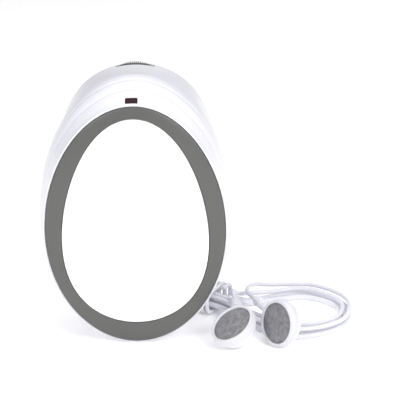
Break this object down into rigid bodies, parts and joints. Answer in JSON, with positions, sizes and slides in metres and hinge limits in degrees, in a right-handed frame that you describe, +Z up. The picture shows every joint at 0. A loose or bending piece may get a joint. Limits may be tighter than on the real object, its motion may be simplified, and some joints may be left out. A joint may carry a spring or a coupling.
{
  "type": "fetal doppler monitor",
  "caption": "Hand-held home fetal heartbeat listener: egg-shaped body with a rear probe, edge volume wheel, indicator window and plugged-in earphones on a tied cord.",
  "frame": {"origin": "middle of the device's foot on the table, under the middle of its depth", "axes": "+Z up from the wide end it stands on to its narrow top, +Y out of the probe face at its back, front cover towards -Y"},
  "size_m": [0.1163, 0.0652, 0.0972],
  "materials": {
    "white_shell": "satin",
    "white_cover": "gloss",
    "grey_ring": "satin",
    "dark_lens": "gloss",
    "red_led": "gloss",
    "probe_grey": "matte",
    "ceramic": "matte",
    "cork": "matte",
    "epoxy": "matte",
    "copper_foil": "satin",
    "wheel_grey": "matte",
    "steel": "satin",
    "board_green": "satin",
    "socket_black": "matte",
    "lead_wire": "satin",
    "tray_white": "matte",
    "battery_wrap": "satin",
    "foam": "matte",
    "cord_white": "satin",
    "bud_white": "gloss",
    "bud_rim": "satin",
    "bud_grille": "matte",
    "driver": "satin"
  },
  "bodies": {
    "device": {"front_cover": "white_cover", "front_ring": "grey_ring", "front_shell": "white_shell", "trim_band": "white_shell", "rear_shell": "white_shell", "window_lens": "dark_lens", "indicator_led": "red_led", "led_leads": "steel", "probe_housing": "white_shell", "probe_face": "probe_grey", "transmit_crystal": "ceramic", "receive_crystal": "ceramic", "crystal_divider": "cork", "probe_backing": "epoxy", "probe_shield": "copper_foil", "probe_lead": "lead_wire", "volume_control": "epoxy", "volume_board": "board_green", "main_board": "board_green", "processor_chip": "epoxy", "amplifier_chip": "epoxy", "voltage_regulator": "epoxy", "board_capacitors": "steel", "oscillator_can": "steel", "socket_board": "board_green", "right_socket": "socket_black", "left_socket": "socket_black", "socket_lead": "lead_wire", "battery_tray": "tray_white", "tray_screws": "steel", "battery": "battery_wrap", "battery_terminals": "steel", "battery_snap": "epoxy", "battery_leads": "lead_wire", "case_screws": "steel", "board_screws": "steel", "plug_contacts": "steel", "plug_insulators": "socket_black", "plug_body": "cord_white", "main_cord": "cord_white", "cord_hank": "cord_white", "cord_split": "cord_white", "cord_tie": "cord_white", "left_loop": "cord_white", "left_cord": "cord_white", "right_loop": "cord_white", "right_cord": "cord_white", "left_bud_rim": "bud_rim", "left_bud_grille": "bud_grille", "left_bud_shell": "bud_white", "left_bud_driver": "driver", "right_bud_rim": "bud_rim", "right_bud_grille": "bud_grille", "right_bud_shell": "bud_white", "right_bud_driver": "driver"},
    "wheel": {"volume_wheel": "wheel_grey", "wheel_shaft": "steel", "wheel_screw": "steel"},
    "hatch": {"battery_hatch": "white_shell", "hatch_pad": "foam"}
  },
  "joints": [
    {"name": "wheel_turn", "type": "hinge", "parent": "device", "child": "wheel", "pos_m": [0, 0.0168, 0.0852], "axis": [0, -1, 0], "range_deg": [0, 300]},
    {"name": "hatch_slide", "type": "slide", "parent": "device", "child": "hatch", "axis": [0, 1, 0], "range_m": [0, 0.009]}
  ]
}
